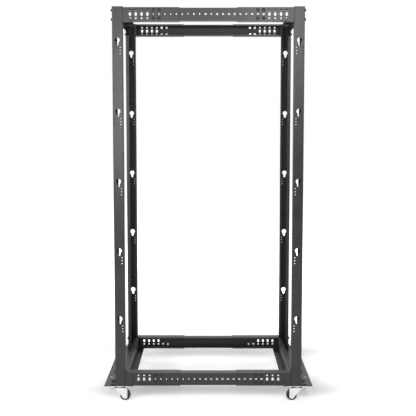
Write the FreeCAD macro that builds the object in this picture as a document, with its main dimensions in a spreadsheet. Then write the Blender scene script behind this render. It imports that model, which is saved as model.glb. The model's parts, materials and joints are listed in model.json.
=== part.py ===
"""Four post open frame rack, 36 rack units, on four swivel casters.

Millimetres. X runs from the front (-X) to the rear (+X), Y across the rack, Z up.
The origin is on the floor under the middle of the frame. Right and left are as seen
from the front, so the right side is at -Y.
"""
import FreeCAD, Part
import os
import Sketcher

os.makedirs("parts", exist_ok=True)
doc = FreeCAD.newDocument("open_frame_rack")

# Driving dimensions: alias, value, what it is.
SIZES = [
    ("rack_units", 36, "rack units of mounting height"),
    ("unit_pitch", 44.45, "one rack unit"),
    ("end_margin", 49.9, "post beyond the first and last unit"),
    ("rail_spread", 845.8, "front post face to rear post face"),
    ("rack_opening", 450, "clear width between the mounting flanges"),
    ("hole_spread", 465.1, "mounting hole rows, centre to centre"),
    ("flange_depth", 50, "mounting flange, across the rack"),
    ("post_width", 47.5, "post web, along the depth"),
    ("post_sheet", 2, "post sheet thickness"),
    ("post_bend", 4, "outside radius of the post bends"),
    ("outer_lip", 16.5, "return lip of the mounting flange"),
    ("inner_flange", 20, "inner flange of the post"),
    ("inner_lip", 10, "return lip of the inner flange"),
    ("square_hole", 9.5, "mounting hole across its flats"),
    ("hole_step", 15.875, "between the mounting holes of a unit"),
    ("key_first", 146, "post top to the first keyhole head"),
    ("key_pitch_units", 7, "rack units between keyholes"),
    ("key_count", 5, "keyholes on a post"),
    ("key_inset", 23, "keyhole centre from the post face"),
    ("key_head", 22.5, "keyhole head diameter"),
    ("key_drop", 23.75, "keyhole head centre to the slot end"),
    ("key_neck", 17, "keyhole slot width at the head"),
    ("key_foot", 8, "keyhole slot width at its end"),
    ("service_hole", 5, "service hole diameter"),
    ("service_inset", 8, "outer row of service holes from the post face"),
    ("service_spread", 27.8, "between the two rows of service holes"),
    ("service_first", 32, "keyhole head centre to the first service hole"),
    ("service_step", 13.4, "between service holes in a row"),
    ("rail_height", 60, "side rail sleeve height"),
    ("rail_depth", 40, "side rail sleeve depth"),
    ("rail_sheet", 2, "side rail sheet thickness"),
    ("rail_lip", 8, "side rail return lip"),
    ("rail_drop", 3.6, "post top to the top of the side rail"),
    ("sleeve_end", 127, "sleeve end from the middle of the rack"),
    ("slide_fit", 0.2, "clearance of the inner rail in its sleeve"),
    ("inner_length", 508, "inner rail length"),
    ("inner_rail_lip", 6, "inner rail return lip"),
    ("column_pitch", 25.4, "depth step of the side rail"),
    ("column_first", 139.7, "first adjustment column from the middle"),
    ("column_count", 9, "adjustment columns on a sleeve"),
    ("open_columns", 4, "columns with a hole above and below the slot"),
    ("slot_wide", 10.5, "adjustment slot width"),
    ("slot_tall", 15.5, "adjustment slot height"),
    ("slot_corner", 3, "corner cut of an adjustment slot"),
    ("side_hole", 8.5, "hole above and below an adjustment slot"),
    ("side_hole_rise", 17.7, "that hole from the slot centre"),
    ("base_width", 132.5, "base plate along the depth"),
    ("base_overhang", 51, "base plate beyond the post face"),
    ("base_sheet", 3, "base plate thickness"),
    ("floor_slot_long", 20, "floor slot length"),
    ("floor_slot_wide", 13, "floor slot width"),
    ("floor_slot_reach", 33, "floor slot centre beyond the post face"),
    ("floor_slot_inset", 109, "floor slot centre from the side of the rack"),
    ("tab_height", 56, "base plate tab height"),
    ("tab_width", 40, "base plate tab width"),
    ("cross_fit", 0.5, "gap at the ends of the crossmembers"),
    ("foot_cross_setback", 52, "lower crossmember web behind the post face"),
    ("foot_cross_height", 58, "lower crossmember height"),
    ("foot_cross_flange", 18, "lower crossmember flange"),
    ("cross_sheet", 2, "crossmember sheet thickness"),
    ("head_cross_height", 37.5, "upper crossmember face height"),
    ("head_cross_depth", 43, "upper crossmember plate depth"),
    ("head_cross_lip", 5, "upper crossmember return lip"),
    ("head_cross_reach", 45, "face of the upper crossmember behind the flange"),
    ("head_tab_height", 60, "bolted tab of the upper crossmember, height"),
    ("head_tab_width", 45, "bolted tab of the upper crossmember, width"),
    ("caster_height", 74, "floor to the base plate"),
    ("caster_setback", 17, "swivel axis behind the post face"),
    ("caster_inset", 31, "swivel axis from the side of the rack"),
    ("caster_plate", 80, "caster plate along the depth"),
    ("caster_plate_wide", 56, "caster plate across the rack"),
    ("caster_plate_sheet", 3, "caster plate thickness"),
    ("race_size", 42, "swivel race diameter"),
    ("race_height", 6, "swivel race height"),
    ("swivel_gap", 0.4, "gap between the race and the fork crown"),
    ("kingpin_size", 8, "kingpin diameter"),
    ("kingpin_head", 15, "kingpin head diameter"),
    ("kingpin_head_height", 3.5, "kingpin head height"),
    ("running_fit", 0.05, "radial clearance at pins"),
    ("crown_height", 3, "fork crown thickness"),
    ("crown_lead", 22, "fork crown ahead of the swivel axis"),
    ("fork_gap", 28.4, "between the fork legs"),
    ("fork_sheet", 2.2, "fork leg thickness"),
    ("fork_foot", 22, "fork leg width at the axle"),
    ("foot_drop", 3, "centre of the leg's round foot below the axle"),
    ("foot_lead", 8.5, "leading edge's foot ahead of the axle"),
    ("foot_lead_drop", 7, "leading edge's foot below the round foot's centre"),
    ("trail", 24, "axle behind the swivel axis"),
    ("wheel_size", 48, "wheel diameter"),
    ("tread_width", 18, "wheel tread width"),
    ("tread_bevel", 2, "bevel at the edges of the tread"),
    ("hub_width", 27.4, "wheel hub width"),
    ("hub_size", 15, "wheel hub diameter"),
    ("axle_size", 6, "axle diameter"),
    ("axle_head", 12, "axle head and nut across corners"),
    ("axle_head_height", 3.5, "axle head and nut height"),
]

sheet = doc.addObject("Spreadsheet::Sheet", "Sizes")
for row, (alias, value, note) in enumerate(SIZES, start=1):
    sheet.set(f"A{row}", alias)
    sheet.set(f"B{row}", str(value))
    sheet.set(f"C{row}", note)
    sheet.setAlias(f"B{row}", alias)
doc.recompute()


def sized(formula):
    """The formula with each size's name pointed at its cell."""
    words = []
    word = ""
    for letter in formula + " ":
        if letter.isalnum() or letter in "_.":
            word += letter
            continue
        words.append(f"Sizes.{word}" if word and word[0].isalpha() else word)
        words.append(letter)
        word = ""
    return "".join(words).strip()


# Places that several pieces share.
POST_FACE = "(rail_spread / 2)"
SIDE_FACE = "(rack_opening / 2 + flange_depth)"
BASE_TOP = "(caster_height + base_sheet)"
POST_LENGTH = "(rack_units * unit_pitch + 2 * end_margin)"
FRAME_TOP = f"({BASE_TOP} + {POST_LENGTH})"
INNER_FACE = f"({POST_FACE} - post_width)"
RAIL_TOP = f"({FRAME_TOP} - rail_drop)"
FOOT_RAIL_TOP = f"({BASE_TOP} + rail_height)"
CROWN_TOP = "(caster_height - caster_plate_sheet - race_height - swivel_gap)"
CROWN_UNDER = f"({CROWN_TOP} - crown_height)"


def new_body(label):
    body = doc.addObject("PartDesign::Body", label)
    body.Label = label
    return body


def origin_feature(body, role):
    return next(item for item in body.Origin.OriginFeatures if item.Role == role)


def new_sketch(body, plane, offset):
    """A sketch on one of the body's origin planes, moved along the plane's normal."""
    sketch = body.newObject("Sketcher::SketchObject", f"{body.Name}_sketch")
    sketch.AttachmentSupport = [(origin_feature(body, plane), "")]
    sketch.MapMode = "FlatFace"
    sketch.setExpression("AttachmentOffset.Base.z", sized(offset))
    return sketch


def fix_point(sketch, line, end, place):
    """Drives a sketch point's two coordinates from a pair of formulas."""
    values = corner(sketch, place)
    for kind, formula, value in zip(("DistanceX", "DistanceY"), place, values):
        index = sketch.addConstraint(Sketcher.Constraint(kind, -1, 1, line, end, value))
        sketch.setExpression(f"Constraints[{index}]", sized(formula))


def draw_outline(sketch, places, bends=None):
    """A closed outline through the given formula pairs.

    Its runs are straight, apart from those whose number bends gives a centre and a radius.
    """
    first = sketch.GeometryCount
    count = len(places)
    bends = bends or {}
    turn = [FreeCAD.Vector(*corner(sketch, place), 0) for place in places]
    points = []
    for index in range(count):
        start, stop = turn[index], turn[(index + 1) % count]
        points.append((1, 2))
        if index not in bends:
            sketch.addGeometry(Part.LineSegment(start, stop), False)
            continue
        middle = FreeCAD.Vector(*corner(sketch, bends[index][0]), 0)
        if (start - middle).cross(stop - middle).z < 0:
            points[-1] = (2, 1)
            start, stop = stop, start
        circle = Part.Circle(middle, FreeCAD.Vector(0, 0, 1), (start - middle).Length)
        ends = [circle.parameter(start), circle.parameter(stop)]
        sketch.addGeometry(Part.ArcOfCircle(circle, *ends), False)
    for index in range(count):
        following = (index + 1) % count
        joint = (first + index, points[index][1], first + following, points[following][0])
        sketch.addConstraint(Sketcher.Constraint("Coincident", *joint))
    for index, place in enumerate(places):
        fix_point(sketch, first + index, points[index][0], place)
    for index, (middle, radius) in bends.items():
        size = float(sketch.evalExpression(sized(radius)))
        number = sketch.addConstraint(Sketcher.Constraint("Radius", first + index, size))
        sketch.setExpression(f"Constraints[{number}]", sized(radius))


def corner(sketch, place):
    """A formula pair's present values, where the outline is first drawn."""
    return [float(sketch.evalExpression(sized(formula))) for formula in place]


def draw_circle(sketch, place, diameter):
    spot = FreeCAD.Vector(*corner(sketch, place), 0)
    radius = float(sketch.evalExpression(sized(f"({diameter}) / 2")))
    line = sketch.addGeometry(Part.Circle(spot, FreeCAD.Vector(0, 0, 1), radius), False)
    fix_point(sketch, line, 3, place)
    index = sketch.addConstraint(Sketcher.Constraint("Diameter", line, radius * 2))
    sketch.setExpression(f"Constraints[{index}]", sized(diameter))


def box_places(low, high):
    """Four corners of a rectangle between two formula pairs."""
    return [low, (high[0], low[1]), high, (low[0], high[1])]


def grown(body, kind, sketch, length, both_ways=False):
    """A pad or pocket of the sketch, along its normal or to both sides of it."""
    feature = body.newObject(f"PartDesign::{kind}", f"{body.Name}_{kind.lower()}")
    feature.Profile = sketch
    feature.Midplane = both_ways
    feature.setExpression("Length", sized(length))
    sketch.Visibility = False
    return feature


def repeated(body, features, role, length, count):
    """A straight pattern of pockets along one of the body's axes."""
    pattern = body.newObject("PartDesign::LinearPattern", f"{body.Name}_pattern")
    pattern.Originals = features
    pattern.Direction = (origin_feature(body, role), [""])
    pattern.setExpression("Length", sized(length))
    pattern.setExpression("Occurrences", sized(count))
    body.Tip = pattern
    return pattern


def across(side, formula):
    """The formula on the side of the rack that the sign names."""
    return f"{side} * ({formula})"


def lipped_channel(outer, depth, low, high, sheet_size, lip_size):
    """Section of a lipped channel: its back at the outer face, its lips inward."""
    tip = f"{outer} - {depth}"
    inside = f"{outer} - {sheet_size}"
    lip_back = f"{tip} + {sheet_size}"
    return [
        (outer, low), (outer, high), (tip, high), (tip, f"{high} - {lip_size}"),
        (lip_back, f"{high} - {lip_size}"), (lip_back, f"{high} - {sheet_size}"),
        (inside, f"{high} - {sheet_size}"), (inside, f"{low} + {sheet_size}"),
        (lip_back, f"{low} + {sheet_size}"), (lip_back, f"{low} + {lip_size}"),
        (tip, f"{low} + {lip_size}"), (tip, low),
    ]


def make_post(label, end, side):
    """Lipped channel post with its mounting holes, keyholes and service holes."""
    body = new_body(label)
    tip = f"{SIDE_FACE} - flange_depth"
    inner_tip = f"{SIDE_FACE} - inner_flange"
    bend_start = f"{SIDE_FACE} - post_bend"
    section = [
        (POST_FACE, tip), (POST_FACE, bend_start), (f"{POST_FACE} - post_bend", SIDE_FACE),
        (f"{INNER_FACE} + post_bend", SIDE_FACE), (INNER_FACE, bend_start), (INNER_FACE, inner_tip),
        (f"{INNER_FACE} + inner_lip", inner_tip),
        (f"{INNER_FACE} + inner_lip", f"{inner_tip} + post_sheet"),
        (f"{INNER_FACE} + post_sheet", f"{inner_tip} + post_sheet"),
        (f"{INNER_FACE} + post_sheet", f"{SIDE_FACE} - post_sheet"),
        (f"{POST_FACE} - post_sheet", f"{SIDE_FACE} - post_sheet"),
        (f"{POST_FACE} - post_sheet", f"{tip} + post_sheet"),
        (f"{POST_FACE} - outer_lip", f"{tip} + post_sheet"), (f"{POST_FACE} - outer_lip", tip),
    ]
    bends = {}
    for number, x in ((1, f"{POST_FACE} - post_bend"), (3, f"{INNER_FACE} + post_bend")):
        bends[number] = ((across(end, x), across(side, bend_start)), "post_bend")
    profile = new_sketch(body, "XY_Plane", BASE_TOP)
    draw_outline(profile, [(across(end, x), across(side, y)) for x, y in section], bends)
    grown(body, "Pad", profile, POST_LENGTH)

    # The lip of the mounting flange stops below the upper crossmember.
    notch = new_sketch(body, "XZ_Plane", across(-side, f"{tip} + post_sheet / 2"))
    notch_low = (across(end, f"{POST_FACE} - outer_lip - post_sheet"), f"{RAIL_TOP} - rail_height")
    notch_high = (across(end, f"{POST_FACE} - post_sheet"), f"{FRAME_TOP} + post_sheet")
    draw_outline(notch, box_places(notch_low, notch_high))
    grown(body, "Pocket", notch, "2 * post_sheet", True)

    # Mounting holes: three to a unit, the middle one centred in it.
    squares = new_sketch(body, "YZ_Plane", across(end, f"{POST_FACE} - post_sheet / 2"))
    near = across(side, "hole_spread / 2 - square_hole / 2")
    far = across(side, "hole_spread / 2 + square_hole / 2")
    for step in ("-hole_step", "0", "hole_step"):
        middle = f"{BASE_TOP} + end_margin + unit_pitch / 2 + ({step})"
        low = (near, f"{middle} - square_hole / 2")
        high = (far, f"{middle} + square_hole / 2")
        draw_outline(squares, box_places(low, high))
    holes = grown(body, "Pocket", squares, "2 * post_sheet", True)
    repeated(body, [holes], "Z_Axis", "(rack_units - 1) * unit_pitch", "rack_units")

    # Keyholes and service holes through the web, from the lowest group upwards.
    run = "(key_count - 1) * key_pitch_units * unit_pitch"
    head_level = f"({FRAME_TOP} - key_first - {run})"
    web_plane = across(-side, f"{SIDE_FACE} - post_sheet / 2")
    centre = across(end, f"{POST_FACE} - key_inset")
    heads = new_sketch(body, "XZ_Plane", web_plane)
    draw_circle(heads, (centre, head_level), "key_head")
    head = grown(body, "Pocket", heads, "2 * post_sheet", True)
    necks = new_sketch(body, "XZ_Plane", web_plane)
    draw_outline(necks, [
        (f"{centre} - key_neck / 2", head_level), (f"{centre} + key_neck / 2", head_level),
        (f"{centre} + key_foot / 2", f"{head_level} - key_drop"),
        (f"{centre} - key_foot / 2", f"{head_level} - key_drop"),
    ])
    neck = grown(body, "Pocket", necks, "2 * post_sheet", True)
    services = new_sketch(body, "XZ_Plane", web_plane)
    for inset in ("service_inset", "service_inset + service_spread"):
        for step in range(3):
            level = f"{head_level} - service_first - {step} * service_step"
            draw_hexagon(services, (across(end, f"{POST_FACE} - ({inset})"), level), "service_hole")
    service = grown(body, "Pocket", services, "2 * post_sheet", True)
    repeated(body, [head, neck, service], "Z_Axis", run, "key_count")
    return body


def draw_hexagon(sketch, place, across_corners):
    """A small hole of six sides, with two corners level with its centre."""
    x, y = place
    half = f"({across_corners}) / 2"
    rise = f"{half} * 0.8660254"
    draw_outline(sketch, [
        (f"{x} + {half}", y), (f"{x} + {half} / 2", f"{y} + {rise}"),
        (f"{x} - {half} / 2", f"{y} + {rise}"), (f"{x} - {half}", y),
        (f"{x} - {half} / 2", f"{y} - {rise}"), (f"{x} + {half} / 2", f"{y} - {rise}"),
    ])


def draw_slot(sketch, place, wide, tall):
    """An upright slot whose ends are cut at the corners."""
    x, y = place
    side = f"({wide}) / 2"
    end = f"({tall}) / 2"
    cut = "slot_corner"
    draw_outline(sketch, [
        (f"{x} - {side} + {cut}", f"{y} - {end}"), (f"{x} + {side} - {cut}", f"{y} - {end}"),
        (f"{x} + {side}", f"{y} - {end} + {cut}"), (f"{x} + {side}", f"{y} + {end} - {cut}"),
        (f"{x} + {side} - {cut}", f"{y} + {end}"), (f"{x} - {side} + {cut}", f"{y} + {end}"),
        (f"{x} - {side}", f"{y} + {end} - {cut}"), (f"{x} - {side}", f"{y} - {end} + {cut}"),
    ])


def make_sleeve(label, end, side, top):
    """Outer channel of a side rail, welded to a post, with its adjustment columns."""
    body = new_body(label)
    low = f"({top} - rail_height)"
    section = lipped_channel(SIDE_FACE, "rail_depth", low, f"({top})", "rail_sheet", "rail_lip")
    start = "sleeve_end" if end > 0 else f"-({INNER_FACE})"
    profile = new_sketch(body, "YZ_Plane", start)
    draw_outline(profile, [(across(side, y), z) for y, z in section])
    grown(body, "Pad", profile, f"{INNER_FACE} - sleeve_end")

    column = new_sketch(body, "XZ_Plane", across(-side, f"{SIDE_FACE} - rail_sheet / 2"))
    far_column = "column_first + (column_count - 1) * column_pitch"
    place_x = "column_first" if end > 0 else f"-({far_column})"
    middle = f"{low} + rail_height / 2"
    draw_slot(column, (place_x, middle), "slot_wide", "slot_tall")
    slots = grown(body, "Pocket", column, "2 * rail_sheet", True)
    repeated(body, [slots], "X_Axis", "(column_count - 1) * column_pitch", "column_count")

    pairs = new_sketch(body, "XZ_Plane", across(-side, f"{SIDE_FACE} - rail_sheet / 2"))
    open_run = "(open_columns - 1) * column_pitch"
    place_x = f"{far_column} - {open_run}" if end > 0 else f"-({far_column})"
    for rise in ("+ side_hole_rise", "- side_hole_rise"):
        draw_hexagon(pairs, (place_x, f"{middle} {rise}"), "side_hole")
    holes = grown(body, "Pocket", pairs, "2 * rail_sheet", True)
    repeated(body, [holes], "X_Axis", open_run, "open_columns")
    return body


def make_inner_rail(label, side, top):
    """Inner channel of a side rail, which bridges the two sleeves."""
    body = new_body(label)
    outer = f"({SIDE_FACE} - rail_sheet)"
    high = f"({top} - rail_sheet - slide_fit)"
    low = f"({top} - rail_height + rail_sheet + slide_fit)"
    depth = "(rail_depth - 2 * rail_sheet - slide_fit)"
    section = lipped_channel(outer, depth, low, high, "rail_sheet", "inner_rail_lip")
    profile = new_sketch(body, "YZ_Plane", "0")
    draw_outline(profile, [(across(side, y), z) for y, z in section])
    grown(body, "Pad", profile, "inner_length", True)
    return body


def make_head_cross(label, end):
    """Upper crossmember: a face behind the mounting flanges and a plate under the top."""
    body = new_body(label)
    face = f"({POST_FACE} - post_sheet)"
    rear = f"({face} - head_cross_depth)"
    section = [
        (face, f"{RAIL_TOP} - head_cross_height"), (face, RAIL_TOP), (rear, RAIL_TOP),
        (rear, f"{RAIL_TOP} - head_cross_lip"),
        (f"{rear} + cross_sheet", f"{RAIL_TOP} - head_cross_lip"),
        (f"{rear} + cross_sheet", f"{RAIL_TOP} - cross_sheet"),
        (f"{face} - cross_sheet", f"{RAIL_TOP} - cross_sheet"),
        (f"{face} - cross_sheet", f"{RAIL_TOP} - head_cross_height"),
    ]
    profile = new_sketch(body, "XZ_Plane", "0")
    draw_outline(profile, [(across(end, x), z) for x, z in section])
    grown(body, "Pad", profile, f"2 * ({SIDE_FACE} - rail_depth - cross_fit)", True)
    tabs = new_sketch(body, "YZ_Plane", across(end, f"{face} - cross_sheet / 2"))
    tab_end = "(rack_opening / 2 + head_cross_reach)"
    for side in (-1, 1):
        low = (across(side, f"{tab_end} - head_tab_width"), f"{RAIL_TOP} - head_tab_height")
        draw_outline(tabs, box_places(low, (across(side, tab_end), RAIL_TOP)))
    grown(body, "Pad", tabs, "cross_sheet", True)
    return body


def make_foot_cross(label, end):
    """Lower crossmember: a channel on the base plate, open towards the outside."""
    body = new_body(label)
    web = f"({POST_FACE} - foot_cross_setback)"
    high = f"({BASE_TOP} + foot_cross_height)"
    section = [
        (web, BASE_TOP), (f"{web} + foot_cross_flange", BASE_TOP),
        (f"{web} + foot_cross_flange", f"{BASE_TOP} + cross_sheet"),
        (f"{web} + cross_sheet", f"{BASE_TOP} + cross_sheet"),
        (f"{web} + cross_sheet", f"{high} - cross_sheet"),
        (f"{web} + foot_cross_flange", f"{high} - cross_sheet"),
        (f"{web} + foot_cross_flange", high), (web, high),
    ]
    profile = new_sketch(body, "XZ_Plane", "0")
    draw_outline(profile, [(across(end, x), z) for x, z in section])
    grown(body, "Pad", profile, f"2 * ({SIDE_FACE} - rail_depth - cross_fit)", True)
    return body


def make_base_plate(label, end):
    """Base plate under two posts, with floor slots and a tab inside each post."""
    body = new_body(label)
    outer = f"{POST_FACE} + base_overhang"
    profile = new_sketch(body, "XY_Plane", "caster_height")
    low = (across(end, f"{outer} - base_width"), f"-({SIDE_FACE})")
    draw_outline(profile, box_places(low, (across(end, outer), SIDE_FACE)))
    grown(body, "Pad", profile, "base_sheet")
    tabs = new_sketch(body, "XY_Plane", BASE_TOP)
    face = f"{POST_FACE} - post_sheet"
    for side in (-1, 1):
        low = (across(end, f"{face} - base_sheet"), across(side, f"{SIDE_FACE} - post_sheet - cross_fit"))
        high = (across(end, face), across(side, f"{SIDE_FACE} - post_sheet - cross_fit - tab_width"))
        draw_outline(tabs, box_places(low, high))
    grown(body, "Pad", tabs, "tab_height")
    straights = new_sketch(body, "XY_Plane", "caster_height + base_sheet / 2")
    ends = new_sketch(body, "XY_Plane", "caster_height + base_sheet / 2")
    centre = across(end, f"{POST_FACE} + floor_slot_reach")
    half = "(floor_slot_long - floor_slot_wide) / 2"
    for side in (-1, 1):
        middle = across(side, f"{SIDE_FACE} - floor_slot_inset")
        low = (f"{centre} - {half}", f"{middle} - floor_slot_wide / 2")
        high = (f"{centre} + {half}", f"{middle} + floor_slot_wide / 2")
        draw_outline(straights, box_places(low, high))
        draw_circle(ends, (f"{centre} - {half}", middle), "floor_slot_wide")
    grown(body, "Pocket", straights, "2 * base_sheet", True)
    near_ends = grown(body, "Pocket", ends, "2 * base_sheet", True)
    repeated(body, [near_ends], "X_Axis", "floor_slot_long - floor_slot_wide", "2")
    return body


def place_caster_body(body, end, side, level):
    """Moves a caster piece to its swivel axis, at the given level."""
    body.setExpression("Placement.Base.x", sized(across(end, f"{POST_FACE} - caster_setback")))
    body.setExpression("Placement.Base.y", sized(across(side, f"{SIDE_FACE} - caster_inset")))
    body.setExpression("Placement.Base.z", sized(level))


def make_caster_plate(label, end, side):
    """Caster plate with its race and kingpin."""
    body = new_body(label)
    plate = new_sketch(body, "XY_Plane", "caster_height - caster_plate_sheet")
    high = ("caster_plate / 2", "caster_plate_wide / 2")
    draw_outline(plate, box_places(("-caster_plate / 2", "-caster_plate_wide / 2"), high))
    grown(body, "Pad", plate, "caster_plate_sheet")
    discs = [
        (f"{CROWN_TOP} + swivel_gap", "race_height", "race_size"),
        (f"{CROWN_UNDER} - swivel_gap", "crown_height + 2 * swivel_gap", "kingpin_size"),
        (f"{CROWN_UNDER} - swivel_gap - kingpin_head_height", "kingpin_head_height", "kingpin_head"),
    ]
    for level, height, diameter in discs:
        disc = new_sketch(body, "XY_Plane", level)
        draw_circle(disc, ("0", "0"), diameter)
        grown(body, "Pad", disc, height)
    place_caster_body(body, end, side, "0")
    return body


def make_fork(label, end, side):
    """Swivel fork: a round crown and two tapering legs down to the axle."""
    body = new_body(label)
    axle_x = across(-end, "trail")
    axle_z = "wheel_size / 2"
    foot_z = f"({axle_z} - foot_drop)"
    legs = new_sketch(body, "XZ_Plane", "0")
    draw_outline(legs, [
        (across(end, "crown_lead"), CROWN_UNDER), (across(end, "crown_lead"), CROWN_TOP),
        (across(-end, "trail + fork_foot / 2"), CROWN_TOP),
        (across(-end, "trail + fork_foot / 2"), foot_z),
        (across(-end, "trail - foot_lead"), f"{foot_z} - foot_lead_drop"),
    ])
    grown(body, "Pad", legs, "fork_gap + 2 * fork_sheet", True)
    feet = new_sketch(body, "XZ_Plane", "0")
    draw_circle(feet, (axle_x, foot_z), "fork_foot")
    grown(body, "Pad", feet, "fork_gap + 2 * fork_sheet", True)
    inside = new_sketch(body, "XZ_Plane", "0")
    draw_outline(inside, box_places(("-wheel_size", "0"), ("wheel_size", CROWN_UNDER)))
    grown(body, "Pocket", inside, "fork_gap", True)
    crown = new_sketch(body, "XY_Plane", CROWN_UNDER)
    draw_circle(crown, ("0", "0"), "race_size")
    grown(body, "Pad", crown, "crown_height")
    bore = new_sketch(body, "XY_Plane", CROWN_UNDER)
    draw_circle(bore, ("0", "0"), "kingpin_size + 2 * running_fit")
    grown(body, "Pocket", bore, "4 * crown_height", True)
    axle_bore = new_sketch(body, "XZ_Plane", "0")
    draw_circle(axle_bore, (axle_x, axle_z), "axle_size + 2 * running_fit")
    grown(body, "Pocket", axle_bore, "2 * fork_gap", True)
    place_caster_body(body, end, side, "0")
    return body


def turned(body, section):
    """A solid turned about the body's Y axis from a half section (y, radius)."""
    sketch = new_sketch(body, "YZ_Plane", "0")
    draw_outline(sketch, section)
    feature = body.newObject("PartDesign::Revolution", f"{body.Name}_turn")
    feature.Profile = sketch
    feature.ReferenceAxis = (sketch, ["H_Axis"])
    feature.Angle = 360
    sketch.Visibility = False
    return feature


def place_on_axle(body, end, side):
    place_caster_body(body, end, side, "wheel_size / 2")
    x = f"{across(end, f'{POST_FACE} - caster_setback')} + {across(-end, 'trail')}"
    body.setExpression("Placement.Base.x", sized(x))


def make_axle(label, end, side):
    """Axle bolt with its hexagon head and nut outside the fork legs."""
    body = new_body(label)
    leg = "(fork_gap / 2 + fork_sheet)"
    shank = new_sketch(body, "XZ_Plane", "0")
    draw_circle(shank, ("0", "0"), "axle_size")
    grown(body, "Pad", shank, f"2 * {leg}", True)
    for level in (leg, f"-({leg} + axle_head_height)"):
        head = new_sketch(body, "XZ_Plane", level)
        draw_hexagon(head, ("0", "0"), "axle_head")
        grown(body, "Pad", head, "axle_head_height")
    place_on_axle(body, end, side)
    return body


def make_wheel(label, end, side):
    """Wheel with a wider hub and a bevelled tread."""
    body = new_body(label)
    bore = "axle_size / 2 + running_fit"
    edge = "wheel_size / 2"
    right = [
        ("hub_width / 2", bore), ("hub_width / 2", "hub_size / 2"), ("tread_width / 2", "hub_size / 2"),
        ("tread_width / 2", f"{edge} - tread_bevel"), ("tread_width / 2 - tread_bevel", edge),
    ]
    left = [(f"-({y})", radius) for y, radius in reversed(right)]
    turned(body, right + left)
    place_on_axle(body, end, side)
    return body


ENDS = {"front": -1, "rear": 1}
SIDES = {"right": -1, "left": 1}

subparts = []
for end_name, end in ENDS.items():
    subparts.append(make_base_plate(f"{end_name}_base_plate", end))
    subparts.append(make_foot_cross(f"{end_name}_lower_crossmember", end))
    subparts.append(make_head_cross(f"{end_name}_upper_crossmember", end))
    for side_name, side in SIDES.items():
        corner_name = f"{end_name}_{side_name}"
        subparts.append(make_post(f"{corner_name}_post", end, side))
        subparts.append(make_sleeve(f"{corner_name}_upper_rail", end, side, RAIL_TOP))
        subparts.append(make_sleeve(f"{corner_name}_lower_rail", end, side, FOOT_RAIL_TOP))
        subparts.append(make_caster_plate(f"{corner_name}_caster_plate", end, side))
        subparts.append(make_fork(f"{corner_name}_caster_fork", end, side))
        subparts.append(make_axle(f"{corner_name}_caster_axle", end, side))
        subparts.append(make_wheel(f"{corner_name}_caster_wheel", end, side))
for side_name, side in SIDES.items():
    subparts.append(make_inner_rail(f"{side_name}_upper_inner_rail", side, RAIL_TOP))
    subparts.append(make_inner_rail(f"{side_name}_lower_inner_rail", side, FOOT_RAIL_TOP))

doc.recompute()
for item in doc.Objects:
    if "Invalid" in item.State or "Error" in item.State:
        raise RuntimeError(f"{item.Name} did not compute: {item.State}")
for subpart in subparts:
    if subpart.Shape.isNull() or not subpart.Shape.isValid():
        raise RuntimeError(f"{subpart.Label} has no valid shape")
for subpart in subparts:
    subpart.Shape.exportStep(f"parts/{subpart.Label}.step")
    print(subpart.Label, round(subpart.Shape.Volume), len(subpart.Shape.Solids))
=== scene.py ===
import json
import math
from itertools import product

import bpy
import numpy as np
from mathutils import Matrix, Vector


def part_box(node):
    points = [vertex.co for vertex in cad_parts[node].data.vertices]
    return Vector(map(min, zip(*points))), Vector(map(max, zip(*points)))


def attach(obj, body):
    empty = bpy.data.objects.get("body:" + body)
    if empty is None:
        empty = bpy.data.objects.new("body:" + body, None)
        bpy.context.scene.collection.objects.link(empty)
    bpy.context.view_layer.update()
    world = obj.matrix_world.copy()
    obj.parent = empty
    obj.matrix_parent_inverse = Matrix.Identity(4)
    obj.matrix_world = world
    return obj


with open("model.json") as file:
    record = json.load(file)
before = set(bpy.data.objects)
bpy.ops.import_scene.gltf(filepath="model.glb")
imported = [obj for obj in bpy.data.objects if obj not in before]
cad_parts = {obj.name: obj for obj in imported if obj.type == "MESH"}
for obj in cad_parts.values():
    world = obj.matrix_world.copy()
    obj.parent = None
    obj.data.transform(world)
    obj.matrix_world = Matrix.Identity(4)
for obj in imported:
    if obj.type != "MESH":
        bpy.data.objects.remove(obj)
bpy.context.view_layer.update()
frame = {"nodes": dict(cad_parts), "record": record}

scene = bpy.context.scene
print("frame loaded")

# Places in metres, read from the frame's own nodes: the front is at -X, the left side at +Y.
ends = {"front": -1, "rear": 1}
sides = {"right": -1, "left": 1}
postLow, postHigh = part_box("rear_left_post")
postFace, sideFace, postTop = postHigh
baseTop = postLow.z
railLow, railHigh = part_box("rear_left_upper_rail")
railHeight = railHigh.z - railLow.z
railMiddles = {"upper": (railLow.z + railHigh.z) / 2, "lower": baseTop + railHeight / 2}
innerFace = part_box("left_upper_inner_rail")[1].y
inch = 0.0254


# A part is three arrays: its points, the point number at each corner of each face in turn,
# and the number of corners of each face. This one is a grid of points, rows by columns by
# three, closed around its columns and with a face over each end row.
def gridPart(grid):
    rows, columns = grid.shape[:2]
    here = np.arange(rows * columns).reshape(rows, columns)
    beside = np.roll(here, -1, axis=1)
    cells = np.stack([here[:-1], beside[:-1], beside[1:], here[1:]], axis=-1)
    numbers = np.concatenate([cells.ravel(), here[0][::-1], here[-1]])
    counts = np.repeat([4, columns], [(rows - 1) * columns, 2])
    return grid.reshape(-1, 3), numbers, counts


# Several parts as one, each with its point numbers counted on from the last.
def joined(parts):
    points, numbers, counts = zip(*parts)
    starts = np.cumsum([0] + [len(some) for some in points[:-1]])
    numbers = [some + start for some, start in zip(numbers, starts)]
    return np.concatenate(points), np.concatenate(numbers), np.concatenate(counts)


# The part turned about its own Z axis, that axis turned to a direction, and carried to a place.
def placed(part, place, direction, turn):
    points, numbers, counts = part
    matrix = Vector(direction).to_track_quat("Z", "Y").to_matrix() @ Matrix.Rotation(turn, 3, "Z")
    return points @ np.array(matrix).T + np.array(place), numbers, counts


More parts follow.
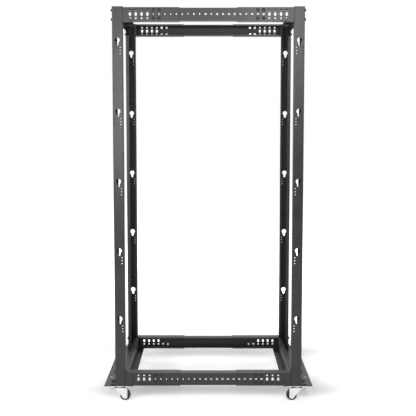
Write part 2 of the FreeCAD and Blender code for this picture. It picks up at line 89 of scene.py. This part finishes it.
def makePiece(name, part, material, body, creases=32):
    points, numbers, counts = part
    mesh = bpy.data.meshes.new(name)
    mesh.vertices.add(len(points))
    mesh.vertices.foreach_set("co", points.ravel())
    mesh.loops.add(len(numbers))
    mesh.loops.foreach_set("vertex_index", numbers.astype(np.int32))
    mesh.polygons.add(len(counts))
    mesh.polygons.foreach_set("loop_start", (np.cumsum(counts) - counts).astype(np.int32))
    mesh.update(calc_edges=True)
    mesh.validate()
    mesh.shade_smooth()
    mesh.set_sharp_from_angle(angle=math.radians(creases))
    mesh.materials.append(material)
    piece = bpy.data.objects.new(name, mesh)
    scene.collection.objects.link(piece)
    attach(piece, body)


# Distance from a hexagon's centre to its edge at each angle: half the width across the
# flats over the cosine of the angle from the middle of the nearest flat.
def hexReach(angle, flats):
    fromFlat = (angle + math.pi / 6) % (math.pi / 3) - math.pi / 6
    return flats / 2 / np.cos(fromFlat)


# A profile of (radius, height) points turned about Z, from the bottom up. Where flats is
# given, no point lies further out than the hexagon of that width.
def turnedPart(profile, flats=None, segments=36):
    angle = np.linspace(0, 2 * math.pi, segments, endpoint=False)
    radius, height = np.array(profile).T[:, :, None] * np.ones(segments)
    if flats:
        radius = np.minimum(radius, hexReach(angle, flats))
    return gridPart(np.stack([radius * np.cos(angle), radius * np.sin(angle), height], axis=-1))


# A socket with arithmetic: each operator makes one Math node.
class Wire:
    def __init__(self, sheet, socket):
        self.sheet = sheet
        self.socket = socket

    def __add__(self, other):
        return self.sheet.math("ADD", self, other)

    def __radd__(self, other):
        return self.sheet.math("ADD", other, self)

    def __sub__(self, other):
        return self.sheet.math("SUBTRACT", self, other)

    def __rsub__(self, other):
        return self.sheet.math("SUBTRACT", other, self)

    def __mul__(self, other):
        return self.sheet.math("MULTIPLY", self, other)

    def __rmul__(self, other):
        return self.sheet.math("MULTIPLY", other, self)

    def __abs__(self):
        return self.sheet.math("ABSOLUTE", self)

    # How far the value is on its way from low to high, held to 0 and 1.
    def between(self, low, high):
        inputs = {"Value": self, "From Min": low, "From Max": high}
        return self.sheet.wire("ShaderNodeMapRange", "Result", inputs)


# A node tree. Any node comes from one method: its settings first, then its inputs by name or number.
class NodeSheet:
    def __init__(self, tree):
        self.tree = tree

    def node(self, kind, inputs=None, **settings):
        made = self.tree.nodes.new(kind)
        for key, value in settings.items():
            setattr(made, key, value)
        for key, value in (inputs or {}).items():
            self.feed(made.inputs[key], value)
        return made

    def feed(self, socket, value):
        if isinstance(value, Wire):
            self.tree.links.new(value.socket, socket)
        else:
            socket.default_value = value

    def wire(self, kind, output, inputs=None, **settings):
        return Wire(self, self.node(kind, inputs, **settings).outputs[output])

    def math(self, operation, *values):
        return self.wire("ShaderNodeMath", 0, dict(enumerate(values)), operation=operation)


# The node tree of a material, with patterns on the object's own coordinates.
class Finish(NodeSheet):
    def __init__(self, name):
        self.material = bpy.data.materials.new(name)
        self.material.use_nodes = True
        super().__init__(self.material.node_tree)
        self.shader = self.tree.nodes["Principled BSDF"]
        self.place = self.wire("ShaderNodeTexCoord", "Object")

    def axis(self, name):
        return self.wire("ShaderNodeSeparateXYZ", name, {"Vector": self.place})

    def noise(self, scale, detail, roughness=0.5):
        inputs = {"Vector": self.place, "Scale": scale, "Detail": detail, "Roughness": roughness}
        return self.wire("ShaderNodeTexNoise", "Fac", inputs)

    # A colour on the way from the first to the second, by share.
    def mix(self, share, first, second):
        made = self.node("ShaderNodeMix", {"Factor": share}, data_type="RGBA")
        colours = [socket for socket in made.inputs if socket.type == "RGBA"]
        for socket, colour in zip(colours, (first, second)):
            self.feed(socket, colour if isinstance(colour, Wire) else (*colour, 1.0))
        return Wire(self, next(socket for socket in made.outputs if socket.type == "RGBA"))

    def bump(self, height, strength, depth):
        inputs = {"Height": height, "Strength": strength, "Distance": depth}
        self.feed(self.shader.inputs["Normal"], self.wire("ShaderNodeBump", "Normal", inputs))

    def set(self, values):
        for name, value in values.items():
            self.feed(self.shader.inputs[name], value)
        return self.material


# Satin powder coat: a fine pebbled skin under a broad cloud of tone, a little rougher in
# places. Where other faces stand close around, in channels and corners, painted shade darkens
# its colour, and it is rougher there.
def powderCoat():
    look = {"deep": (0.0145, 0.0145, 0.0155), "worn": (0.0225, 0.0225, 0.0235), "spread": (0.35, 0.65)}
    noises = {"cloud": (9.0, 4.0), "grain": (900.0, 2.0), "pebble": (420.0, 2.0, 0.4), "grainShare": 0.4}
    skin = {"roughness": 0.28, "byCloud": 0.1, "byGrain": 0.06, "bump": 0.22, "depth": 0.0004}
    recessShadeAndRoughness = {"reach": 0.07, "shut": 0.32, "open": 0.78, "colour": (0.006, 0.006, 0.0065), "rougher": 0.4}
    finish = Finish("powderCoat")
    cloud = finish.noise(*noises["cloud"])
    grain = finish.noise(*noises["grain"])
    speckled = cloud * (1 - noises["grainShare"]) + grain * noises["grainShare"]
    tone = finish.mix(speckled.between(*look["spread"]), look["deep"], look["worn"])
    openness = finish.wire("ShaderNodeAmbientOcclusion", "AO", {"Distance": recessShadeAndRoughness["reach"]}, samples=6)
    shadedRecessShare = 1 - openness.between(recessShadeAndRoughness["shut"], recessShadeAndRoughness["open"])
    # Painted shade: the coat's colour darkens towards a near-black where faces stand close around.
    tone = finish.mix(shadedRecessShare, tone, recessShadeAndRoughness["colour"])
    rough = cloud * skin["byCloud"] + grain * skin["byGrain"] + skin["roughness"] + shadedRecessShare * recessShadeAndRoughness["rougher"]
    finish.bump(finish.noise(*noises["pebble"]), skin["bump"], skin["depth"])
    return finish.set({"Base Color": tone, "Roughness": rough})


# Bright zinc plate: faint cloudy grain, and a painted shadow: a dark band on the crown, at the
# height of the shaded gap under the caster's race.
def brightZinc():
    look = {"dark": (0.78, 0.79, 0.8), "light": (0.9, 0.9, 0.9), "spread": (0.35, 0.65)}
    noises = {"cloud": (60.0, 5.0), "fine": (1400.0, 2.0), "fineShare": 0.3}
    skin = {"metal": 1.0, "roughness": 0.24, "byCloud": 0.16, "bump": 0.1, "depth": 0.0002}
    paintedGapShadow = {"low": 0.0602, "high": 0.0650, "blend": 0.0002, "colour": (0.03, 0.03, 0.03)}
    finish = Finish("brightZinc")
    cloud = finish.noise(*noises["cloud"])
    fine = finish.noise(*noises["fine"])
    speckled = cloud * (1 - noises["fineShare"]) + fine * noises["fineShare"]
    tone = finish.mix(speckled.between(*look["spread"]), look["dark"], look["light"])
    # Painted shadow: the band from low to high darkens the zinc on the crown where the gap under the race is
    # in shade.
    height = finish.axis("Z")
    above = height.between(paintedGapShadow["low"] - paintedGapShadow["blend"], paintedGapShadow["low"])
    under = 1 - height.between(paintedGapShadow["high"], paintedGapShadow["high"] + paintedGapShadow["blend"])
    tone = finish.mix(above * under, tone, paintedGapShadow["colour"])
    rough = cloud * skin["byCloud"] + skin["roughness"]
    finish.bump(fine, skin["bump"], skin["depth"])
    return finish.set({"Base Color": tone, "Metallic": skin["metal"], "Roughness": rough})


# Moulded wheel: matt dark compound with a fine dusty speckle.
def wheelRubber():
    look = {"deep": (0.012, 0.012, 0.013), "dusty": (0.035, 0.034, 0.033), "spread": (0.4, 0.7)}
    noises = {"speckle": (700.0, 3.0), "cloud": (40.0, 3.0), "cloudShare": 0.5}
    skin = {"roughness": 0.54, "bySpeckle": 0.12, "bump": 0.2, "depth": 0.0002}
    finish = Finish("wheelRubber")
    speckle = finish.noise(*noises["speckle"])
    dust = speckle * (1 - noises["cloudShare"]) + finish.noise(*noises["cloud"]) * noises["cloudShare"]
    tone = finish.mix(dust.between(*look["spread"]), look["deep"], look["dusty"])
    rough = speckle * skin["bySpeckle"] + skin["roughness"]
    finish.bump(speckle, skin["bump"], skin["depth"])
    return finish.set({"Base Color": tone, "Roughness": rough})


# Black oxide bolts: partly metallic, rubbed lighter in places, with a fine grain.
def blackOxide():
    look = {"deep": (0.01, 0.01, 0.011), "rubbed": (0.03, 0.03, 0.031), "spread": (0.4, 0.7)}
    noises = {"cloud": (220.0, 3.0), "grain": (1600.0, 2.0)}
    skin = {"metal": 0.35, "roughness": 0.28, "byCloud": 0.12, "bump": 0.12, "depth": 0.0001}
    finish = Finish("blackOxide")
    cloud = finish.noise(*noises["cloud"])
    tone = finish.mix(cloud.between(*look["spread"]), look["deep"], look["rubbed"])
    rough = cloud * skin["byCloud"] + skin["roughness"]
    finish.bump(finish.noise(*noises["grain"]), skin["bump"], skin["depth"])
    return finish.set({"Base Color": tone, "Metallic": skin["metal"], "Roughness": rough})


# Screen printed ink: white, a little thin in places.
def printInk():
    look = {"full": (0.93, 0.93, 0.92), "thin": (0.8, 0.8, 0.79), "spread": (0.6, 0.85)}
    skin = {"patch": (1500.0, 3.0), "roughness": 0.45, "byPatch": 0.1, "bump": 0.08, "depth": 0.0001}
    finish = Finish("printInk")
    patch = finish.noise(*skin["patch"])
    tone = finish.mix(patch.between(*look["spread"]), look["full"], look["thin"])
    rough = patch * skin["byPatch"] + skin["roughness"]
    finish.bump(patch, skin["bump"], skin["depth"])
    return finish.set({"Base Color": tone, "Roughness": rough})


materials = {
    "powder_coat": powderCoat(),
    "caster_zinc": brightZinc(),
    "axle_steel": brightZinc(),
    "caster_rubber": wheelRubber(),
}
blackBolt = blackOxide()
ink = printInk()
slotOf = {item["node"]: item["material_slot"] for item in frame["record"]["subparts"]}
for name, node in frame["nodes"].items():
    for slot in node.material_slots:
        slot.material = materials[slotOf[name]]
print("materials ready")

pole = 0.0001  # radius at which a turned profile closes


# A low domed head with a round well for the key. The dome's radius falls as a power of the
# cosine of its rise, and its height grows with the sine.
def domedHead():
    look = {"radius": 0.00675, "height": 0.0038, "foot": 0.97, "edge": 0.12, "side": 0.25, "bulge": 0.8}
    dome = {"rise": math.radians(67.5), "points": 7}
    well = {"mouth": (0.0023, 0.99), "floor": (0.0021, 0.45), "middle": (pole, 0.4)}
    radius, height = look["radius"], look["height"]
    rise = np.linspace(0, dome["rise"], dome["points"])
    reaches = radius * np.cos(rise) ** look["bulge"]
    heights = height * (look["side"] + (1 - look["side"]) * np.sin(rise))
    profile = [(radius * look["foot"], 0.0), (radius, height * look["edge"]), *zip(reaches, heights)]
    profile += [(across, height * share) for across, share in well.values()]
    return turnedPart(profile)


# A hexagon head, its top edge turned down to a cone, on a thin round flange.
def hexHead(flats, top):
    look = {"flange": 0.78, "crown": 0.72, "face": 0.485}
    rim = {"edge": 0.0007, "slope": 0.82, "rise": 0.0014, "top": 0.0015, "start": 0.0009}
    reach = flats * look["flange"]
    flange = [(reach, 0.0), (reach, rim["edge"]), (reach * rim["slope"], rim["rise"]), (pole, rim["top"])]
    body = [(reach, rim["start"]), (reach, top * look["crown"]), (flats * look["face"], top), (pole, top)]
    return joined([turnedPart(flange), turnedPart(body, flats)])


# A thread's end: the radius falls by a triangle wave of the height over the pitch less the
# turn, and narrows over the last pitch.
def threadPart(low, high):
    look = {"radius": 0.003, "pitch": 0.001, "depth": 0.0006, "tip": 0.65, "rows": 6, "segments": 20}
    rows = int((high - low) / look["pitch"] * look["rows"])
    angle = np.linspace(0, 2 * math.pi, look["segments"], endpoint=False)
    height = np.linspace(low, high, rows)[:, None]
    phase = (height / look["pitch"] - angle / (2 * math.pi)) % 1
    toTip = np.clip((high - height) / look["pitch"], 0, 1)
    radius = look["radius"] - look["depth"] * (1 - np.abs(2 * phase - 1))
    radius = radius * (look["tip"] + (1 - look["tip"]) * toTip)
    heights = height * np.ones_like(angle)
    return gridPart(np.stack([radius * np.cos(angle), radius * np.sin(angle), heights], axis=-1))


# A hexagon nut with both faces turned to cones, on a washer, with the bolt's end through it.
def hexNut():
    look = {"flats": 0.010, "corner": 0.006, "face": 0.00485, "height": 0.005, "cone": 0.0008}
    washer = {"radius": 0.0062, "top": 0.0060, "thick": 0.0012, "edge": 0.0011}
    thread = {"start": 0.004, "proud": 0.0045}
    corner, face, low = look["corner"], look["face"], washer["thick"]
    high = low + look["height"]
    ring = [(washer["radius"], 0.0), (washer["radius"], washer["edge"]), (washer["top"], low), (pole, low)]
    body = [(face, low), (corner, low + look["cone"]), (corner, high - look["cone"])]
    body += [(face, high), (pole, high)]
    end = threadPart(thread["start"], high + thread["proud"])
    return joined([turnedPart(ring), turnedPart(body, look["flats"]), end])


# A set of bolts as two pieces, heads and nuts. Each bolt has its place on the outer sheet, the
# thickness that it grips, and the turn of its head and of its nut.
def makeBolts(name, head, outward, bolts, nutMaterial):
    inward = [-step for step in outward]
    nut = hexNut()
    heads = []
    nuts = []
    for place, grip, headTurn, nutTurn in bolts:
        behind = np.array(place) + grip * np.array(inward)
        heads.append(placed(head, place, outward, headTurn))
        nuts.append(placed(nut, behind, inward, nutTurn))
    makePiece(f"{name}_bolts", joined(heads), blackBolt, "frame")
    makePiece(f"{name}_nuts", joined(nuts), nutMaterial, "frame")


# Two columns of bolts hold each inner rail in the sleeve at each end.
def railBolts():
    look = {"columns": (8.5 * inch, 9.5 * inch), "rises": (-0.0177, 0.0177), "grip": 0.004}
    turns = {"first": 0.4, "byColumn": 900, "byRise": 50}
    head = domedHead()
    for (sideName, side), (level, middle) in product(sides.items(), railMiddles.items()):
        bolts = []
        for end, column, rise in product(ends.values(), look["columns"], look["rises"]):
            turn = turns["first"] + column * turns["byColumn"] + rise * turns["byRise"] + end
            place = (end * column, side * sideFace, middle + rise)
            bolts.append((place, look["grip"], turn, turn))
        makeBolts(f"{sideName}_{level}_rail", head, (0, side, 0), bolts, materials["caster_zinc"])


# Two bolts at the top and two at the foot of each post hold the crossmembers.
def postBolts():
    look = {"flats": 0.0115, "head": 0.007, "inset": 0.025, "headTurn": 0.3, "nutTurn": 0.5}
    top = {"drops": (0.0130, 0.0535), "grip": 0.004}
    foot = {"rises": (0.0145, 0.0527), "grip": 0.005}
    levels = [(postTop - drop, top["grip"]) for drop in top["drops"]]
    levels += [(baseTop + rise, foot["grip"]) for rise in foot["rises"]]
    head = hexHead(look["flats"], look["head"])
    for (endName, end), (sideName, side) in product(ends.items(), sides.items()):
        bolts = []
        for count, (level, grip) in enumerate(levels):
            place = (end * postFace, side * (sideFace - look["inset"]), level)
            bolts.append((place, grip, count + look["headTurn"], count + look["nutTurn"]))
        makeBolts(f"{endName}_{sideName}_post", head, (end, 0, 0), bolts, blackBolt)


# Four bolts hold each caster plate under its base plate.
def casterBolts():
    look = {"flats": 0.010, "head": 0.00475, "along": 0.034, "across": 0.0215, "grip": 0.006}
    turns = {"headAlong": 90, "headAcross": 40, "nutAlong": 70, "nutAcross": 50}
    head = hexHead(look["flats"], look["head"])
    for endName, sideName in product(ends, sides):
        low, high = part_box(f"{endName}_{sideName}_caster_plate")
        middle = (low + high) / 2
        bolts = []
        for alongSign, acrossSign in product((-1, 1), (-1, 1)):
            along, across = alongSign * look["along"], acrossSign * look["across"]
            headTurn = along * turns["headAlong"] + across * turns["headAcross"]
            nutTurn = along * turns["nutAlong"] + across * turns["nutAcross"]
            place = (middle.x + along, middle.y + across, baseTop)
            bolts.append((place, look["grip"], headTurn, nutTurn))
        makeBolts(f"{endName}_{sideName}_caster", head, (0, 0, 1), bolts, materials["caster_zinc"])


railBolts()
postBolts()
casterBolts()
print("bolts placed")


# One property of every item in a mesh's list, as an array.
def readAll(items, name, width=1, kind=np.int32):
    values = np.empty(len(items) * width, kind)
    items.foreach_get(name, values)
    return values


# A number as a flat part in the XY plane, centred, from the built-in plain font.
def numeralPart(text):
    look = {"size": 0.0104, "bolder": 0.0004, "spacing": 0.92, "resolution": 3}
    curve = bpy.data.curves.new("numeral", "FONT")
    curve.body = text
    curve.size = look["size"]
    curve.offset = look["bolder"]
    curve.space_character = look["spacing"]
    curve.resolution_u = look["resolution"]
    curve.align_x = "CENTER"
    curve.align_y = "CENTER"
    holder = bpy.data.objects.new("numeral", curve)
    mesh = bpy.data.meshes.new_from_object(holder)
    points = readAll(mesh.vertices, "co", 3, np.float32).reshape(-1, 3)
    part = points, readAll(mesh.loops, "vertex_index"), readAll(mesh.polygons, "loop_total")
    bpy.data.objects.remove(holder)
    bpy.data.curves.remove(curve)
    bpy.data.meshes.remove(mesh)
    return part


# Depth numerals 1 inch apart along each inner rail, read from left to right from outside.
def depthNumerals():
    look = {"count": 20, "proud": 0.00015}
    for (sideName, side), (level, middle) in product(sides.items(), railMiddles.items()):
        upright = np.array([[-side, 0, 0], [0, 0, 1], [0, side, 0]])
        numerals = []
        for step in range(look["count"]):
            x = -side * (step + 0.5 - look["count"] / 2) * inch
            place = np.array([x, side * (innerFace + look["proud"]), middle])
            points, numbers, counts = numeralPart(str(step + 1))
            numerals.append((points @ upright + place, numbers, counts))
        makePiece(f"{sideName}_{level}_depth_numerals", joined(numerals), ink, "frame")


depthNumerals()
print("numerals printed")

white = (1.0, 1.0, 1.0)
black = (0.0, 0.0, 0.0)


# The floor keeps its shadows near the rack and turns white away from it: a glow for the
# camera alone grows with the distance from the nearer of two lines across the floor, one a
# little behind each side of the rack, and from the rack's ends, so the weaker glow along these
# lines is painted shade where the rack's shadows fall. Mirrored, it glows evenly.
def studioFloor():
    look = {"paint": (0.97, 0.97, 0.97, 1.0), "near": 0.14, "far": 1.0, "gloss": 0.25}
    shade = {"first": -0.13, "second": 0.42, "beside": 0.5, "inner": 0.04, "outer": 0.58}
    finish = Finish("studioFloor")
    path = finish.node("ShaderNodeLightPath")
    camera = Wire(finish, path.outputs["Is Camera Ray"])
    glossy = Wire(finish, path.outputs["Is Glossy Ray"])
    x, y = finish.axis("X"), finish.axis("Y")
    # Painted shade: the glow is weakest along the two lines, so the floor is darker there to the camera.
    toLine = finish.math("MINIMUM", abs(y - shade["first"]), abs(y - shade["second"]))
    distance = toLine + finish.math("MAXIMUM", abs(x) - shade["beside"], 0.0)
    growth = distance.between(shade["inner"], shade["outer"])
    glow = (growth * (look["far"] - look["near"]) + look["near"]) * camera + glossy * look["gloss"]
    finish.set({"Base Color": look["paint"], "Roughness": 1.0, "Specular IOR Level": 0.0})
    return finish.set({"Emission Color": finish.mix(glow, black, white), "Emission Strength": 1.0})


def buildFloor():
    reach = 14.0  # metres from the middle to each edge
    square = [(-reach, -reach, 0), (reach, -reach, 0), (reach, reach, 0), (-reach, reach, 0)]
    mesh = bpy.data.meshes.new("studio_floor")
    mesh.from_pydata(square, [], [(0, 1, 2, 3)])
    mesh.materials.append(studioFloor())
    floor = bpy.data.objects.new("studio_floor", mesh)
    scene.collection.objects.link(floor)


# The world is white to the camera, dim to what gloss mirrors, and dimmer still as a light.
def buildWorld():
    look = {"ambient": 0.05, "gloss": 0.15}
    world = bpy.data.worlds.new("studio")
    scene.world = world
    world.use_nodes = True
    world.node_tree.nodes.clear()
    sheet = NodeSheet(world.node_tree)
    path = sheet.node("ShaderNodeLightPath")
    glossy = Wire(sheet, path.outputs["Is Glossy Ray"])
    share = glossy * look["gloss"] + Wire(sheet, path.outputs["Is Camera Ray"])
    light = sheet.wire("ShaderNodeBackground", 0, {"Color": (*white, 1.0), "Strength": look["ambient"]})
    seen = sheet.wire("ShaderNodeBackground", 0, {"Color": (*white, 1.0), "Strength": 1.0})
    both = sheet.wire("ShaderNodeMixShader", 0, {0: share, 1: light, 2: seen})
    sheet.node("ShaderNodeOutputWorld", {"Surface": both})


# Each lamp: its place, the point it faces, its width and height in metres, its power in watts.
lamps = {
    "leftKey": ((-5.2, -4.7, 3.1), (0.0, 0.0, 0.6), (2.6, 2.6), 275),
    "rightKey": ((5.2, -4.7, 3.1), (0.0, 0.0, 0.6), (2.6, 2.6), 110),
    "leftSide": ((-4.5, 1.2, 1.8), (0.0, 0.0, 0.9), (1.6, 2.2), 90),
    "rightSide": ((4.5, 1.2, 1.8), (0.0, 0.0, 0.9), (1.6, 2.2), 75),
    "leftStrip": ((-0.52, -2.5, 1.15), (-0.5, 0.0, 1.2), (0.24, 0.5), 9.2),
    "leftHighStrip": ((-0.52, -2.5, 1.75), (-0.5, 0.0, 1.5), (0.24, 0.6), 9.6),
    "rightStrip": ((0.52, -2.5, 1.8), (0.5, 0.0, 1.5), (0.24, 0.6), 8),
    "rightHighStrip": ((0.52, -2.5, 2.4), (0.5, 0.0, 1.7), (0.24, 0.6), 11),
    "backdrop": ((0.0, 3.6, 1.3), (0.0, 0.0, 1.0), (5.0, 2.6), 22),
    "backHigh": ((0.0, 5.0, 4.6), (0.0, 0.0, 0.4), (3.6, 1.6), 90),
}


def addLamp(name, place, target, size, power):
    data = bpy.data.lights.new(name, "AREA")
    data.shape = "RECTANGLE"
    data.size, data.size_y = size
    data.energy = power
    lamp = bpy.data.objects.new(name, data)
    lamp.location = place
    lamp.rotation_euler = (Vector(target) - Vector(place)).to_track_quat("-Z", "Y").to_euler()
    scene.collection.objects.link(lamp)


def buildCamera():
    view = {"place": (-0.0017, -3.2724, 1.2654), "down": 4.14, "lens": 58.52, "sensor": 36.0, "shift": -0.085}
    data = bpy.data.cameras.new("studio_camera")
    data.sensor_width = view["sensor"]
    data.lens = view["lens"]
    data.shift_y = view["shift"]
    camera = bpy.data.objects.new("studio_camera", data)
    camera.location = view["place"]
    camera.rotation_euler = (math.radians(90 - view["down"]), 0.0, 0.0)
    scene.collection.objects.link(camera)
    scene.camera = camera


buildFloor()
buildWorld()
for name, settings in lamps.items():
    addLamp(name, *settings)
buildCamera()
scene.view_settings.view_transform = "Standard"
print("stage ready")
